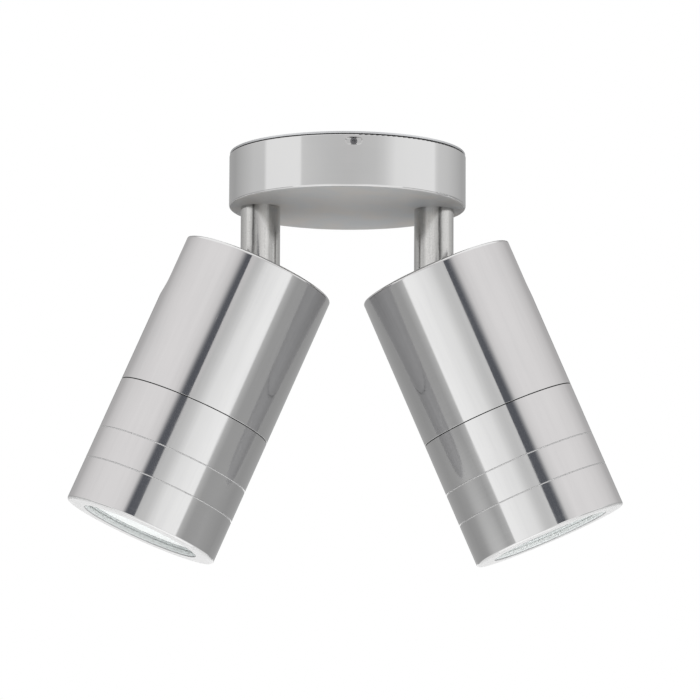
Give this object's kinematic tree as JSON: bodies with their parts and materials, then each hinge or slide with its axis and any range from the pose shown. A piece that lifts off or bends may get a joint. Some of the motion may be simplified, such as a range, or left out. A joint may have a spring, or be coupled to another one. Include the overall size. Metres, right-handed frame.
{
  "type": "pivoting spotlight wall light",
  "caption": "Twin stainless spotlight for a wall or ceiling: cylindrical heads tilt on stems that swivel in a round base.",
  "frame": {"origin": "centre of the base's rear face, on the wall or ceiling surface", "axes": "+Z out of the rear face into the wall or ceiling, +X from the left stem to the right stem, -Y towards the side that the picture shows"},
  "size_m": [0.2092, 0.09, 0.1571],
  "materials": {
    "satin_steel": "satin polished stainless steel, turned",
    "brushed_stem": "brushed stainless steel, lengthwise grain",
    "plated_steel": "zinc-plated steel",
    "dark_steel": "dark oiled steel",
    "brass": "bright brass",
    "black_rubber": "matt silicone rubber",
    "white_silicone": "moulded white silicone",
    "friction_fibre": "pressed fibre",
    "white_nylon": "moulded nylon",
    "silicone_lead": "heat-resistant silicone sleeving",
    "clear_glass": "clear toughened glass",
    "lamp_white": "white lamp housing",
    "lamp_lens": "frosted lens",
    "cream_ceramic": "unglazed steatite"
  },
  "bodies": {
    "base": {"wall_plate": "plated_steel", "base_seal": "black_rubber", "base_cup": "satin_steel", "side_screws": "dark_steel", "cable_grommet": "black_rubber", "terminal_block": "white_nylon", "terminal_screws": "brass", "earth_stud": "plated_steel", "earth_nut": "brass", "base_leads": "silicone_lead"},
    "left_arm": {"left_stem": "brushed_stem", "left_stem_seal": "black_rubber", "left_swivel_washer": "plated_steel", "left_locknut": "brass", "left_stem_lead": "silicone_lead"},
    "right_arm": {"right_stem": "brushed_stem", "right_stem_seal": "black_rubber", "right_swivel_washer": "plated_steel", "right_locknut": "brass", "right_stem_lead": "silicone_lead"},
    "left_head": {"left_head_body": "satin_steel", "left_front_cap": "satin_steel", "left_cap_seal": "black_rubber", "left_glass_seal": "white_silicone", "left_glass": "clear_glass", "left_glass_ring": "plated_steel", "left_lamp_body": "lamp_white", "left_lamp_lens": "lamp_lens", "left_lamp_pins": "brass", "left_lampholder": "cream_ceramic", "left_holder_screws": "plated_steel", "left_bulkhead": "plated_steel", "left_bulkhead_screws": "dark_steel", "left_lead_grommet": "black_rubber", "left_lamp_lead": "silicone_lead", "left_pivot_bracket": "plated_steel", "left_friction_washers": "friction_fibre", "left_pivot_bolt": "dark_steel", "left_pivot_nut": "plated_steel"},
    "right_head": {"right_head_body": "satin_steel", "right_front_cap": "satin_steel", "right_cap_seal": "black_rubber", "right_glass_seal": "white_silicone", "right_glass": "clear_glass", "right_glass_ring": "plated_steel", "right_lamp_body": "lamp_white", "right_lamp_lens": "lamp_lens", "right_lamp_pins": "brass", "right_lampholder": "cream_ceramic", "right_holder_screws": "plated_steel", "right_bulkhead": "plated_steel", "right_bulkhead_screws": "dark_steel", "right_lead_grommet": "black_rubber", "right_lamp_lead": "silicone_lead", "right_pivot_bracket": "plated_steel", "right_friction_washers": "friction_fibre", "right_pivot_bolt": "dark_steel", "right_pivot_nut": "plated_steel"}
  },
  "joints": [
    {"name": "left_swivel", "type": "hinge", "parent": "base", "child": "left_arm", "pos_m": [-0.033, 0, -0.021], "axis": [0, 0, 1], "range_deg": [-90, 90]},
    {"name": "left_tilt", "type": "hinge", "parent": "left_arm", "child": "left_head", "pos_m": [-0.033, 0, -0.0639], "axis": [0, 1, 0], "range_deg": [-23.5, 66.5]},
    {"name": "right_swivel", "type": "hinge", "parent": "base", "child": "right_arm", "pos_m": [0.033, 0, -0.021], "axis": [0, 0, 1], "range_deg": [-90, 90]},
    {"name": "right_tilt", "type": "hinge", "parent": "right_arm", "child": "right_head", "pos_m": [0.033, 0, -0.0639], "axis": [0, -1, 0], "range_deg": [-23.5, 66.5]}
  ]
}
